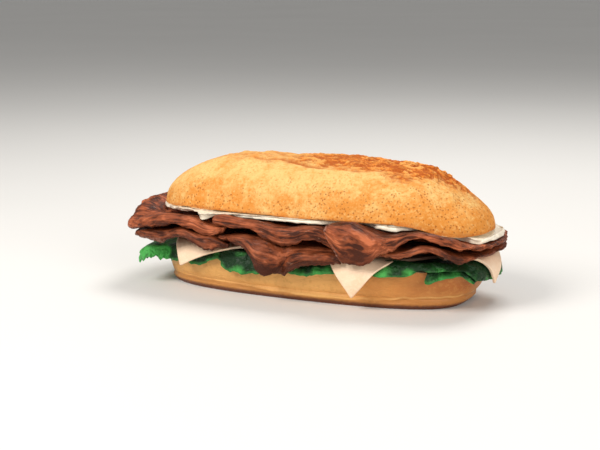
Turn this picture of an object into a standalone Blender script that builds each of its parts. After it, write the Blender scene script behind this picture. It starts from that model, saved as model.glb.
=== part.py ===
"""Submarine sandwich: a whole soft roll, cut through, filled with lettuce, white cheese, folded slices of
roast steak and mayonnaise. X runs along the roll, -Y is its front, +Z is up, and it stands on Z = 0."""

import math

import bmesh
import bpy
from mathutils import Matrix, Vector, noise

MM = 0.001

# Roll: half lengths, half widths and how square its outline is in plan
CROWN_HALF_LENGTH = 90 * MM
CROWN_HALF_WIDTH = 36 * MM
HEEL_HALF_LENGTH = 88 * MM
HEEL_HALF_WIDTH = 36 * MM
OUTLINE_POWER = 2.9
CROWN_AROUND = 96  # points round the outline
CROWN_RINGS = 13  # rings from the crown's rim to its top
HEEL_AROUND = 72

# Lower half of the roll
HEEL_TOP = 20 * MM
FOOT_INSET = 8 * MM  # how far the foot lies inside the cut edge
FOOT_SHIFT = -3.5 * MM  # how far the foot lies to the left
CREASE_HEIGHT = 5.5 * MM
CREASE_DEPTH = 0.7 * MM

# Upper half of the roll
CUT_HEIGHT = 43 * MM  # underside of the crown over the left and the middle
RIGHT_DIP = 5.6 * MM  # how much lower it lies at the right end
LEFT_DIP = 0.8 * MM
DOME_HEIGHT = 26.5 * MM
RIDGE_SHARE = 0.53  # length of the top line as a share of the crown's
DOME_POWER = 2.15
SPLIT_HALF_WIDTH = 13 * MM
SPLIT_RELIEF = 1.3 * MM

# Filling: heights above the heel's cut face, then shares of the room that is left for the steak
LEAF_LOW, LEAF_HIGH = 1.7 * MM, 3.3 * MM
CHEESE_LOW, CHEESE_HIGH = 4.95 * MM, 6.55 * MM
STEAK_FLOOR = 7.25 * MM
STEAK_CEILING = 2.6 * MM  # below the crown's cut face
STEAK_LOW, STEAK_HIGH, STEAK_INNER = 0.17, 0.54, 0.84
PRESSED_LOW, PRESSED_HIGH = 0.22, 0.69
LEAF_THICK = 0.7 * MM
CHEESE_THICK = 1.3 * MM
GAP = 0.3 * MM

# How soft sheets turn down over the heel's edge, and how far from its side they hang
EDGE_RADIUS = 2.5 * MM
LEAF_OFFSET = 1.9 * MM
CHEESE_OFFSET = 5.4 * MM
# Places along the front and the back where cheese or another leaf holds a leaf down
HELD_FRONT = (-64 * MM, -35 * MM, 33 * MM)
HELD_BACK = (-35 * MM, 90 * MM)

# Steak: plan of the pile, where its slices start to turn, and how thin their rims are
STEAK_HALF_WIDTH = 42 * MM
STEAK_LEFT = 108 * MM
STEAK_RIGHT = 100 * MM
KNEE = 0.58
RIM = 0.45

# Places of the lines of the grids, from the front edge to the back edge
STEAK_ROWS = (-1, -0.94, -0.86, -0.74, -0.58, -0.3, 0.15, 0.58, 0.8, 1)
LEAF_ROWS = (-1, -0.93, -0.86, -0.78, -0.62, 0.5, 0.8, 0.9, 1)

# Mayonnaise: points round its edge, and the tongue of it that runs out over the steak
SPREAD_AROUND = 84
DRIP_PLACE = -50.5 * MM
DRIP_REACH = 5.5 * MM


def smooth(value):
    value = min(1.0, max(0.0, value))
    return value * value * (3 - 2 * value)


def mix(a, b, share):
    return a + (b - a) * share


def bump(x, place, width):
    return math.exp(-(((x - place) / width) ** 2))


def along(x, places):
    """Height at x of a wavy edge, from its crests and troughs as (place, height) in millimetres."""
    x /= MM
    if x <= places[0][0]:
        return places[0][1] * MM
    for (x0, z0), (x1, z1) in zip(places, places[1:]):
        if x <= x1:
            return mix(z0, z1, smooth((x - x0) / (x1 - x0))) * MM
    return places[-1][1] * MM


def rough(x, y, z, scale, seed=0.0):
    """Smooth noise from about -1 to 1, whose features are about scale across."""
    return noise.noise(Vector((x / scale + seed, y / scale - seed, z / scale)))


def signed_power(value, power):
    return math.copysign(abs(value) ** power, value)


def outline(angle, half_length, half_width):
    """Point of the roll's outline in plan."""
    power = 2 / OUTLINE_POWER
    return (
        half_length * signed_power(math.cos(angle), power),
        half_width * signed_power(math.sin(angle), power),
    )


def outward(x, y, half_length, half_width):
    """Unit vector that points out of the outline at its point (x, y)."""
    n = Vector(
        (
            signed_power(x / half_length, OUTLINE_POWER - 1) / half_length,
            signed_power(y / half_width, OUTLINE_POWER - 1) / half_width,
        )
    )
    return n.normalized()


def crown_underside(x):
    """Height of the crown's cut face, which sinks where the filling is thinner."""
    return (
        CUT_HEIGHT
        - RIGHT_DIP * smooth((x - 56 * MM) / (26 * MM))
        - LEFT_DIP * smooth((-55 * MM - x) / (30 * MM))
    )


def level(share, x):
    """Height of a slice of steak, as a share of the room between the cheese and the mayonnaise."""
    return mix(HEEL_TOP + STEAK_FLOOR, crown_underside(x) - STEAK_CEILING, share)


def clear_scene():
    for old in list(bpy.data.objects):
        bpy.data.objects.remove(old)


def material(name, colour, roughness):
    made = bpy.data.materials.new(name)
    made.use_nodes = True
    shader = made.node_tree.nodes["Principled BSDF"]
    shader.inputs["Base Color"].default_value = (*colour, 1)
    shader.inputs["Roughness"].default_value = roughness
    shader.inputs["Metallic"].default_value = 0
    return made


def finished(name, bm, finish):
    """Turns a closed bmesh into a smooth shaded object in the sandwich's collection."""
    bmesh.ops.recalc_face_normals(bm, faces=bm.faces)
    if bm.calc_volume(signed=True) < 0:
        bmesh.ops.reverse_faces(bm, faces=bm.faces)
    mesh = bpy.data.meshes.new(name)
    bm.to_mesh(mesh)
    bm.free()
    mesh.materials.append(finish)
    mesh.shade_smooth()
    mesh.set_sharp_from_angle(angle=math.radians(50))
    made = bpy.data.objects.new(name, mesh)
    bpy.data.collections["Sandwich"].objects.link(made)
    return made


def strip_cap(bm, ring):
    """Closes a ring with bands from front to back, so that its height follows X alone."""
    count = len(ring)
    for i in range(count // 2):
        corners = [ring[i], ring[i + 1], ring[count - 1 - i], ring[-i]]
        corners = list(dict.fromkeys(corners))
        if len(corners) > 2:
            bm.faces.new(corners)


def lofted(name, rings, finish):
    """A closed body through rings that each start at the right end and run round once."""
    bm = bmesh.new()
    first = bmesh.ops.create_circle(bm, segments=len(rings[0]), radius=1)["verts"]
    first.sort(key=lambda v: math.atan2(v.co.y, v.co.x) % math.tau)
    for vert, place in zip(first, rings[0]):
        vert.co = place
    ring = first
    strip_cap(bm, ring)
    for places in rings[1:]:
        above = [bm.verts.new(p) for p in places]
        for i, vert in enumerate(ring):
            j = (i + 1) % len(ring)
            bm.faces.new((vert, ring[j], above[j], above[i]))
        ring = above
    strip_cap(bm, ring)
    return finished(name, bm, finish)


def heel(finish):
    """Lower half: flat foot, rolled lower edge under a wavy crease, and a side that flares to the cut."""
    profile = [
        # (share of the height, share of the inset)
        (0.0, 1.25),
        (0.0, 1.0),
        (0.05, 0.80),
        (0.14, 0.64),
        (0.23, 0.54),
        (0.29, 0.48),
        (0.38, 0.38),
        (0.55, 0.22),
        (0.75, 0.08),
        (0.92, 0.0),
        (1.0, 0.06),
        (1.0, 0.5),
    ]
    rings = []
    for height_share, inset_share in profile:
        ring = []
        for i in range(HEEL_AROUND):
            angle = math.tau * i / HEEL_AROUND
            x, y = outline(angle, HEEL_HALF_LENGTH, HEEL_HALF_WIDTH)
            out = outward(x, y, HEEL_HALF_LENGTH, HEEL_HALF_WIDTH)
            z = height_share * HEEL_TOP
            inset = inset_share * FOOT_INSET * mix(0.5, 1.0, abs(out.x))
            if 0 < height_share < 1:
                crease = CREASE_HEIGHT + 1.2 * MM * rough(x, y, 0, 30 * MM)
                inset += CREASE_DEPTH * bump(z, crease, 0.8 * MM)
                inset -= 0.5 * MM * bump(z, crease - 2.4 * MM, 1.6 * MM)
                inset += 0.7 * MM * rough(x, y, z, 26 * MM, 3)
            shift = FOOT_SHIFT * (1 - height_share)
            ring.append((x - out.x * inset + shift, y - out.y * inset, z))
        rings.append(ring)
    return lofted("heel", rings, finish)


def dome_height(x):
    """Height of the crown above its cut along the middle line, fuller left of the middle."""
    along_x = (x + 4 * MM) / CROWN_HALF_LENGTH
    return DOME_HEIGHT * (1 - 0.25 * along_x**2) + 0.3 * MM * rough(x, 0, 0, 34 * MM, 7)


def split_share(x, y):
    """1 on the rough split along the top, 0 on the smooth crust beside it."""
    middle = 1.5 * MM * math.sin(x / (21 * MM)) - 2.5 * MM
    half = SPLIT_HALF_WIDTH * (0.75 + 0.35 * rough(x, 0, 0, 17 * MM, 5))
    across = 1 - smooth((abs(y - middle) - half) / (3.5 * MM))
    ends = smooth((x + 66 * MM) / (22 * MM)) * smooth((84 * MM - x) / (16 * MM))
    return across * ends


def crown(finish):
    """Upper half: a long dome on a sharp cut rim, with a craggy split along its top."""
    rings = []
    under = []
    for i in range(CROWN_AROUND):
        x, y = outline(math.tau * i / CROWN_AROUND, CROWN_HALF_LENGTH, CROWN_HALF_WIDTH)
        under.append((x * 0.95, y * 0.9, crown_underside(x * 0.95)))
    rings.append(under)
    for step in range(CROWN_RINGS):
        lift = math.pi / 2 * (step / (CROWN_RINGS - 0.55)) ** 0.93
        scale = math.cos(lift) ** (2 / DOME_POWER)
        ring = []
        for i in range(CROWN_AROUND):
            x, y = outline(math.tau * i / CROWN_AROUND, CROWN_HALF_LENGTH, CROWN_HALF_WIDTH)
            x *= mix(RIDGE_SHARE, 1.0, scale)
            y *= scale
            z = dome_height(x) * math.sin(lift) ** (2 / DOME_POWER)
            away = Vector((0.2 * x, y, z + 4 * MM)).normalized()
            split = split_share(x, y)
            relief = 0.6 * MM * rough(x, y, z, 30 * MM, 9) * min(1.0, step / 2)
            relief += split * SPLIT_RELIEF * (0.35 + 1.5 * rough(x, 2.2 * y, 0, 7 * MM, 1))
            relief += split * 0.5 * MM * rough(x, 1.6 * y, 0, 3.6 * MM, 2)
            place = Vector((x, y, crown_underside(x) + z)) + away * relief
            ring.append(place)
        rings.append(ring)
    return lofted("crown", rings, finish)


def spread_edge(x, front):
    """(reach past the crown's rim, thickness at the edge, how far the edge is squeezed up) at x."""
    reach = 0.5 * MM + 0.5 * MM * rough(x, 0, 0, 11 * MM, 4 if front else 8)
    thick = 1.9 * MM + 0.6 * MM * rough(x, 0, 0, 8 * MM, 6 if front else 2)
    right_end = smooth((x - 83 * MM) / (5 * MM))
    lump = rough(x, 3 * x, 0, 5 * MM, 1 if front else 12)
    reach += right_end * (3.9 + 1.3 * lump) * MM
    thick += right_end * (1.3 + 0.9 * lump) * MM
    if front:
        reach -= 8 * MM * smooth((x - 17 * MM) / (5 * MM)) * smooth((42 * MM - x) / (6 * MM))
        reach -= 6 * MM * smooth((x - 58 * MM) / (5 * MM)) * (1 - right_end)
        drip = bump(x, DRIP_PLACE, 3 * MM)
        reach += DRIP_REACH * drip
        thick += 2.4 * MM * drip + 1.2 * MM * bump(x, -7 * MM, 2.5 * MM)
        thick += 1.4 * MM * bump(x, 51 * MM, 5 * MM)
    squeeze = right_end * smooth((reach - 3.4 * MM) / (1.2 * MM)) * (1.5 + 0.7 * lump) * MM
    return reach, thick, squeeze


def mayonnaise(finish):
    """A spread under the crown whose uneven edge shows below the rim and drips over the steak."""
    rows = [
        # (share of the edge's thickness below the top, share of the squeeze, how far inside the edge)
        (None, 0.0, 9.0 * MM),
        (0.85, 0.0, 1.2 * MM),
        (0.95, 0.3, 0.25 * MM),
        (0.60, 0.7, 0.0),
        (0.25, 1.0, 0.35 * MM),
        (0.0, 1.0, 1.1 * MM),
        (0.0, 0.0, None),
    ]
    rings = [[] for _ in rows]
    for i in range(SPREAD_AROUND):
        x, y = outline(math.tau * i / SPREAD_AROUND, CROWN_HALF_LENGTH, CROWN_HALF_WIDTH)
        out = outward(x, y, CROWN_HALF_LENGTH, CROWN_HALF_WIDTH)
        reach, thick, squeeze = spread_edge(x, y < 0)
        for ring, (share, lift, within) in zip(rings, rows):
            past = min(2.3 * MM, reach - 2 * MM) if within is None else reach - within
            top = crown_underside(x + out.x * past) - GAP
            drop = 2.0 * MM if share is None else thick * share
            ring.append((x + out.x * past, y + out.y * past, top - drop + squeeze * lift))
    return lofted("mayonnaise", rings, finish)


def over_edge(x, y, rise, offset):
    """Place of a sheet's point (x, y), laid flat, once the sheet turns down over the heel's edge.

    It lies rise above the heel's cut face and hangs offset away from its side.
    """
    half_length = HEEL_HALF_LENGTH - EDGE_RADIUS
    half_width = HEEL_HALF_WIDTH - EDGE_RADIUS
    reach = (abs(x / half_length) ** OUTLINE_POWER + abs(y / half_width) ** OUTLINE_POWER) ** (
        1 / OUTLINE_POWER
    )
    if reach <= 1:
        return Vector((x, y, HEEL_TOP + rise))
    out = outward(x / reach, y / reach, half_length, half_width)
    past = (x - x / reach) * out.x + (y - y / reach) * out.y
    high, wide = EDGE_RADIUS + rise, EDGE_RADIUS + offset
    quarter = math.pi / 4 * (high + wide)  # length of the turn
    angle = math.pi / 2 * min(1.0, past / quarter)
    tail = max(0.0, past - quarter)
    sideways = wide * math.sin(angle) - past
    return Vector(
        (
            x + out.x * sideways,
            y + out.y * sideways,
            HEEL_TOP - EDGE_RADIUS + high * math.cos(angle) - tail,
        )
    )


def sheet(name, cells, surface, half_thickness, finish, rows=None):
    """A closed sheet round the middle surface(u, v), with u and v from -1 to 1, both faces split alike.

    rows, if given, are the places of the grid's lines across v.
    """
    bm = bmesh.new()
    bmesh.ops.create_grid(bm, x_segments=cells[0], y_segments=cells[1], size=1)
    bmesh.ops.triangulate(bm, faces=bm.faces)
    spots = {}
    for vert in bm.verts:
        line = round((vert.co.y + 1) / 2 * cells[1])
        spots[vert] = (vert.co.x, rows[line] if rows else vert.co.y)
    copy = bmesh.ops.duplicate(bm, geom=bm.verts[:] + bm.edges[:] + bm.faces[:])
    bmesh.ops.reverse_faces(bm, faces=[g for g in copy["geom"] if isinstance(g, bmesh.types.BMFace)])
    under = {v: copy["vert_map"][v] for v in spots}
    for edge in [e for e in bm.edges if e.is_boundary and e.verts[0] in spots]:
        a, b = edge.verts
        bm.faces.new((a, b, under[b], under[a]))
    step = 0.01
    for vert, (u, v) in spots.items():
        middle = surface(u, v)
        along_u = surface(u + step, v) - surface(u - step, v)
        along_v = surface(u, v + step) - surface(u, v - step)
        normal = along_u.cross(along_v).normalized()
        half = half_thickness(u, v)
        vert.co = middle + normal * half
        under[vert].co = middle - normal * half
    return finished(name, bm, finish)


def cheese(name, corner, turns, sides, height, finish):
    """A slice whose corner turns down over the heel's edge.

    corner is its place in plan if the slice lay flat, and turns are the angles of its two edges from +X.
    """
    right = Matrix.Rotation(math.radians(turns[0]), 2) @ Vector((sides[0] * MM, 0))
    left = Matrix.Rotation(math.radians(turns[1]), 2) @ Vector((sides[1] * MM, 0))
    tip = Vector(corner) * MM

    def surface(u, v):
        x, y = tip + right * (u + 1) / 2 + left * (v + 1) / 2
        wave = 0.15 * MM * math.sin(x / (6 * MM))
        return over_edge(x, y, height, CHEESE_OFFSET + wave)

    sheet(name, (8, 8), surface, lambda u, v: CHEESE_THICK / 2, finish)


def leaf(name, ends, corners, drops, height, ruffle, seed, columns, finish, lift=0.0):
    """A lettuce leaf whose edges hang in ruffles over the heel.

    corners say how much its left and right corners are rounded, in millimetres, and drops are the
    heights of the front edge along X. lift raises the leaf before its front edge.
    """
    start, end = ends[0] * MM, ends[1] * MM

    def surface(u, v):
        x = mix(start, end, (u + 1) / 2)
        x += 2.5 * MM * rough(v, u, 0, 0.6, seed) * abs(u)
        corner = abs(u) ** 5 * v * v * corners[u > 0] * MM
        x -= math.copysign(corner, u)
        left_over = max(0.15, 1 - abs(x / HEEL_HALF_LENGTH) ** OUTLINE_POWER)
        half = HEEL_HALF_WIDTH * left_over ** (1 / OUTLINE_POWER)
        wave = math.sin(x / (ruffle * MM) + 2.1 * seed + 1.2 * v)
        frill = math.sin(x / (0.43 * ruffle * MM) + seed)
        free = smooth((-x - 80 * MM) / (12 * MM))
        end_room = 1.2 * MM * smooth((x - 80 * MM) / (6 * MM))
        rise = height + 0.15 * MM * wave + 1.5 * MM * free + end_room
        offset = LEAF_OFFSET + 0.8 * (height - LEAF_LOW) + 8 * MM * free + end_room
        turn = math.pi / 4 * (2 * EDGE_RADIUS + rise + offset)
        low = along(x, drops) if v < 0 else HEEL_TOP - (4 + wave) * MM
        low += 0.5 * corner
        y = v * (half + turn + HEEL_TOP - 2 * EDGE_RADIUS - low + 0.6 * MM * frill)
        held = max(bump(x, place, 13 * MM) for place in (HELD_FRONT if v < 0 else HELD_BACK))
        past = smooth((abs(y) - half - 2 * MM) / (6 * MM)) * (1 - held)
        past = max(past, smooth((-x - 90 * MM) / (8 * MM)))
        offset += past * (1.1 * (1 + wave) + 0.8 * frill) * MM
        if v < 0:
            rise += lift * MM * bump(abs(y), half, 3.5 * MM) * bump(x, 71 * MM, 8 * MM)
        return over_edge(x, y, rise, offset)

    cells = (columns, len(LEAF_ROWS) - 1)
    sheet(name, cells, surface, lambda u, v: LEAF_THICK / 2, finish, rows=LEAF_ROWS)


class Slice:
    """A slice of steak: level inside the roll, with wavy edges that stand out of its front and back.

    The front lists give crests and troughs as (place, height) in millimetres: top is the line where
    the slice turns down and low is its lower edge. reach is how far it stands out past the others.
    """

    back_lip = 1 * MM

    def __init__(self, name, ends, rounds, share, thick, top, low, reach=((0, 0),), shift=(0, 0)):
        self.name, self.share, self.thick = name, share, thick * MM
        self.start, self.end = ends[0] * MM, ends[1] * MM
        self.rounds = rounds[0] * MM, rounds[1] * MM
        self.top, self.low, self.reach = top, low, reach
        self.shift = shift[0] * MM, shift[1] * MM

    def inside(self, x, v):
        return level(self.share, x)

    def half(self, x):
        """Half width of the filling at x, which is squarer at its left end."""
        length, power = (STEAK_LEFT, 4.5) if x < 0 else (STEAK_RIGHT, OUTLINE_POWER)
        share = max(0.02, 1 - abs(x / length) ** power)
        return STEAK_HALF_WIDTH * share ** (1 / power)

    def crease(self, x, drop):
        """How far a fold pushes the hanging edge outwards."""
        return 0.0

    def surface(self, u, v):
        s = (u + 1) / 2
        x = mix(self.start + self.rounds[0], self.end - self.rounds[1], s)
        half = self.half(x)
        bulge = 1 - v * v
        x += self.rounds[1] * max(0, s) ** 3 * bulge - self.rounds[0] * max(0, 1 - s) ** 3 * bulge
        front = smooth((-v - KNEE) / 0.25)
        x += front * (self.shift[0] * (1 - s) ** 2 + self.shift[1] * s * s)
        knee = KNEE * half
        inside = self.inside(x, v)
        if abs(v) <= KNEE:
            return Vector((x, v / KNEE * knee, inside))
        drop = (abs(v) - KNEE) / (1 - KNEE)
        if v < 0:
            half += along(x, self.reach)
            ragged = 0.5 * MM * rough(x, 0, 0, 4.5 * MM, self.start / MM)
            top = along(x, self.top) - self.thick / 2
            low = along(x, self.low) + self.thick * RIM / 2 + ragged
        else:
            wave = math.sin(x / (8 * MM)) + 0.4 * math.sin(x / (3.4 * MM) + 1)
            top = inside + self.back_lip * (0.3 + 0.6 * wave)
            low = inside - self.back_lip * (1.2 - 0.9 * wave)
        pull = (top - (inside + low) / 8) / 0.75
        a, b, c, d = (1 - drop) ** 3, 3 * drop * (1 - drop) ** 2, 3 * drop**2 * (1 - drop), drop**3
        y = a * knee + b * (half - 1.6 * MM) + c * (half + 1.4 * MM) + d * half
        y += self.crease(x, drop)
        return Vector((x, math.copysign(y, v), a * inside + (b + c) * pull + d * low))

    def half_thickness(self, u, v):
        rim = smooth((max(abs(u), abs(v)) - 0.84) / 0.16)
        grain = 1 + 0.14 * rough(u, 3 * v, 0, 0.5, self.start / MM)
        return self.thick / 2 * mix(1, RIM, rim) * grain

    def build(self, cells, finish):
        sheet(self.name, (cells, len(STEAK_ROWS) - 1), self.surface, self.half_thickness, finish, STEAK_ROWS)


class EndSlice(Slice):
    """Swells past the crown's left end, where nothing presses on it."""

    swell = 6.5 * MM

    def inside(self, x, v):
        free = smooth((-86 * MM - x) / (14 * MM))
        return level(self.share, x) + self.swell * free * (1 - 0.9 * v * v)


class LowerEndSlice(EndSlice):
    """Swells less, under the upper one."""

    swell = 4 * MM


class InnerSlice(Slice):
    """Lies well inside the roll."""

    back_lip = 0.2 * MM

    def half(self, x):
        return 0.65 * super().half(x)


class SaggingSlice(Slice):
    """Its front edge sags over the heel in two lobes with a slanting groove between them."""

    def crease(self, x, drop):
        groove = (9 - 15 * drop) * MM
        return drop * (
            1.4 * MM * bump(x, -13 * MM, 6 * MM)
            + 1.2 * MM * bump(x, 15 * MM, 6 * MM)
            - 4.2 * MM * bump(x, groove, 2.8 * MM)
        )


def steak_slices():
    """The slices from left to right, each with its number of columns."""
    return [
        (
            EndSlice(
                "steak_left_upper", (-104, -44), (6, 0), STEAK_HIGH, 4.6,
                top=[(-97, 34.8), (-70, 40.6), (-58, 40.0), (-47, 36.3), (-37, 36.8)],
                low=[(-98, 29.6), (-82, 31.0), (-66, 34.8), (-46, 30.0), (-37, 34.6)],
                reach=[(-48, 0), (-37, -2)],
                shift=(0, 6),
            ),
            17,
        ),
        (
            LowerEndSlice(
                "steak_left_lower", (-98, -42), (6, 0), STEAK_LOW, 3.9,
                top=[(-94, 29.6), (-77, 30.4), (-63, 33.2), (-46, 30.6), (-35, 28.4)],
                low=[(-92, 26.6), (-76, 25.4), (-63, 29.6), (-46, 23.4), (-34, 26.4)],
                reach=[(-70, 0), (-52, 2.8), (-43, 2.8), (-34, 0)],
                shift=(0, 7),
            ),
            15,
        ),
        (
            Slice(
                "steak_middle_upper", (-41, 26.5), (0, 0), STEAK_HIGH, 4.3,
                top=[(-42, 42.3), (-20, 41.0), (-4, 38.8), (14, 41.0), (25, 36.0)],
                low=[(-44, 37.2), (-36, 35.8), (-24, 36.0), (-3, 28.9), (13, 33.4), (25, 29.0)],
                reach=[(-40, 0), (-4, 0.8), (14, 0), (24, -2)],
                shift=(-2, -3),
            ),
            17,
        ),
        (
            SaggingSlice(
                "steak_middle_lower", (-37.5, 27), (0, 0), STEAK_LOW, 4.2,
                top=[(-39, 32.6), (-26, 33.2), (-17, 31.6), (-5, 27.7), (4, 28.6), (15, 28.6), (27, 28.4)],
                low=[(-38, 30.6), (-25, 26.4), (-14, 14.8), (-4, 14.6), (10, 20.8), (27, 22.6)],
                reach=[(-36, 0.4), (-14, 3.0), (14, 2.6), (26, 0.6)],
                shift=(-2, 0),
            ),
            24,
        ),
        (
            Slice(
                "steak_right_upper", (29, 96), (0, 11), PRESSED_HIGH, 3.4,
                top=[(22, 44.0), (31, 44.2), (49, 38.4), (66, 41.5), (78, 39.4), (89, 35.4)],
                low=[(20, 37.0), (30, 24.6), (40, 24.2), (51, 30.5), (66, 38.0), (89, 31.2)],
                reach=[(20, 4.6), (44, 3.6), (56, 0.8), (90, 0)],
                shift=(-8, 0),
            ),
            24,
        ),
        (
            Slice(
                "steak_right_lower", (31, 96), (0, 11), PRESSED_LOW, 2.8,
                top=[(34, 30.5), (55, 31.0), (70, 35.0), (86, 29.8), (92, 30.6)],
                low=[(34, 27.8), (55, 28.2), (71, 31.4), (86, 26.8), (92, 28.0)],
                reach=[(32, -3), (54, -1), (62, 0)],
            ),
            16,
        ),
        (
            InnerSlice(
                "steak_inner", (-70, 18), (2, 2), STEAK_INNER, 1.6,
                top=[(-70, 39.6), (-40, 40.0), (18, 39.6)],
                low=[(-70, 37.8), (-45, 38.4), (-20, 37.8), (18, 38.2)],
            ),
            9,
        ),
    ]


def leaves(finish):
    leaf(
        "lettuce_left", (-108, -28), (13, 2),
        [(-101, 6.5), (-86, 8), (-68, 13), (-55, 13.6), (-46, 17.5), (-37, 15), (-28, 19)],
        LEAF_LOW, 3.6, 1.3, 22, finish,
    )
    leaf(
        "lettuce_middle", (-44, 30), (2, 2),
        [(-44, 14.5), (-33, 12.6), (-18, 13.2), (-6, 16), (8, 14.5), (30, 18)],
        LEAF_HIGH, 4.4, 2.6, 20, finish,
    )
    leaf(
        "lettuce_right_lower", (67, 99), (0, 9),
        [(67, 16.5), (70, 12.8), (78, 15.4), (86, 17), (99, 19)],
        LEAF_LOW, 4.0, 4.1, 12, finish,
    )
    leaf(
        "lettuce_right_upper", (38, 100), (2, 6),
        [(38, 18.5), (50, 16.4), (58, 17), (67, 20), (99, 20)],
        LEAF_HIGH, 4.8, 5.2, 18, finish, lift=2.0,
    )


def centre_on_table(objects):
    """Moves the whole so that the origin lies under the middle of its box, on the table."""
    points = [v.co for made in objects for v in made.data.vertices]
    shift = Vector(
        (
            -(min(p.x for p in points) + max(p.x for p in points)) / 2,
            -(min(p.y for p in points) + max(p.y for p in points)) / 2,
            -min(p.z for p in points),
        )
    )
    for made in objects:
        for vert in made.data.vertices:
            vert.co += shift


def main():
    clear_scene()
    collection = bpy.data.collections.new("Sandwich")
    bpy.context.scene.collection.children.link(collection)
    crust = material("golden crust", (0.80, 0.47, 0.16), 0.6)
    pale_crust = material("pale crust", (0.76, 0.48, 0.20), 0.6)
    steak = material("roast steak", (0.22, 0.07, 0.035), 0.45)
    cream = material("mayonnaise", (0.86, 0.80, 0.68), 0.3)
    white_cheese = material("white cheese", (0.90, 0.76, 0.56), 0.4)
    green = material("lettuce", (0.05, 0.24, 0.05), 0.4)
    heel(pale_crust)
    crown(crust)
    mayonnaise(cream)
    cheese("cheese_left", (-67.2, -45.4), (17, 107), (60, 60), CHEESE_LOW, white_cheese)
    cheese("cheese_middle", (33, -56), (51, 127), (58, 58), CHEESE_LOW, white_cheese)
    cheese("cheese_right", (104.4, -3), (127, 214), (34, 36), CHEESE_HIGH, white_cheese)
    leaves(green)
    for made, cells in steak_slices():
        made.build(cells, steak)
    centre_on_table(list(collection.objects))


main()
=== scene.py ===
"""Finishes the submarine sandwich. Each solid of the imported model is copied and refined, given its fine
relief, and dressed as baked crust, roast steak, cheese, lettuce or mayonnaise. The sandwich stands on a pale
floor in soft light."""

import math

import bpy
import numpy as np
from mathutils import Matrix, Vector, noise


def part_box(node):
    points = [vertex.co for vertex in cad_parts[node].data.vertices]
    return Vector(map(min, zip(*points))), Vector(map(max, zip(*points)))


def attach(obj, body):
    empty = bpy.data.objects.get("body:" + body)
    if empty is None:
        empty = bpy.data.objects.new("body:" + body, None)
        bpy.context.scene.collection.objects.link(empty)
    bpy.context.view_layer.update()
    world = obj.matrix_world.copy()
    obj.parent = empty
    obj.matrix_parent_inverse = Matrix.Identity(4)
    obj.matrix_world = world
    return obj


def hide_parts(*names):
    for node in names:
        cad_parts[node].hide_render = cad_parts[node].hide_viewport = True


bl_info = {
    "name": "Submarine Sandwich",
    "version": (1, 0, 0),
    "blender": (4, 5, 0),
    "location": "3D View > Sidebar > Sandwich",
    "description": "Finishes the roll, steak, cheese, lettuce and mayonnaise of a submarine sandwich",
    "category": "Object",
}

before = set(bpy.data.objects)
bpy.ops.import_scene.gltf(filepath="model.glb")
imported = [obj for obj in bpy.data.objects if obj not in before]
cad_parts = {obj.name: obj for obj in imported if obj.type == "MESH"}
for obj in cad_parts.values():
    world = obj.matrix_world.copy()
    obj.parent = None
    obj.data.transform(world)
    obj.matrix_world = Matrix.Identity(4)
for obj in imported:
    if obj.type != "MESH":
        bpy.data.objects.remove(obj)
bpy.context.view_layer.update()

MM = 0.001
HEEL = "heel"
CROWN = "crown"
MAYONNAISE = "mayonnaise"
INNER = "steak_inner"
UNDER = ("steak_left_lower", "steak_middle_lower", "steak_right_lower")
STEAK = [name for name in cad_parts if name.startswith("steak")]
CHEESE = [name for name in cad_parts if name.startswith("cheese")]
LETTUCE = [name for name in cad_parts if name.startswith("lettuce")]

# Lines on the roll, as places along it and what they give there
CREASE_LINE = np.array([(-60, -30, -10, 20, 45, 66), (5.6, 5.4, 4.0, 3.4, 4.6, 6.2)]) * MM
SPLIT_ALONG = (-68, -40, -15, 10, 40, 58, 66, 74, 82)
SPLIT_FRONT = np.array([SPLIT_ALONG, (-4, -11, -9, -16, -14, -19, -10, -3, 6)]) * MM
SPLIT_BACK = np.array([SPLIT_ALONG, (2, 6, 9, 12, 13, 15, 17, 16, 12)]) * MM
OPENED_CREASE = np.array([(-44, -29, -15, -4, 3, 10, 17), (-10, -10, -11, -14, -16, -17.5, -17)]) * MM

# Colours of small parts of the finishes
CROWN_CRUMB = (0.84, 0.66, 0.40)
HEEL_CRUMB = (0.84, 0.68, 0.44)
FOOT_BROWN = (0.10, 0.018, 0.006)
# Pale streaks of the steak: fatty streaks, and painted glints as well
FAT_AND_GLINT = (0.58, 0.32, 0.21)
PALE_MEAT = (0.40, 0.22, 0.17)

# Darkness of the slices of steak: the one deep inside, and those under another
INNER_SHADE = 0.75
UNDER_SHADE = 0.3

ROLL_HALVES = (88, 36)  # half length and half width of the roll, in millimetres
LEVELS = 3  # how often the solids' faces are divided
NOISE_SEED = 4  # the noise vectors start from the clock without one
NOISE_REACH = 1.8  # brings the usual peaks of the noise to about 1
FIT_SHARE = 0.8  # how much of the way smoothed corners are brought back to the solid's own

# Stage: the camera looks at the middle of the lower half's box, at this height
TARGET_HEIGHT = 33 * MM
FRAME_SHIFT = -25 / 600  # puts the sandwich where the frame of 600 pixels has it
FLOOR_SIZE = 40


# Sizes and colours that a user can change


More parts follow.
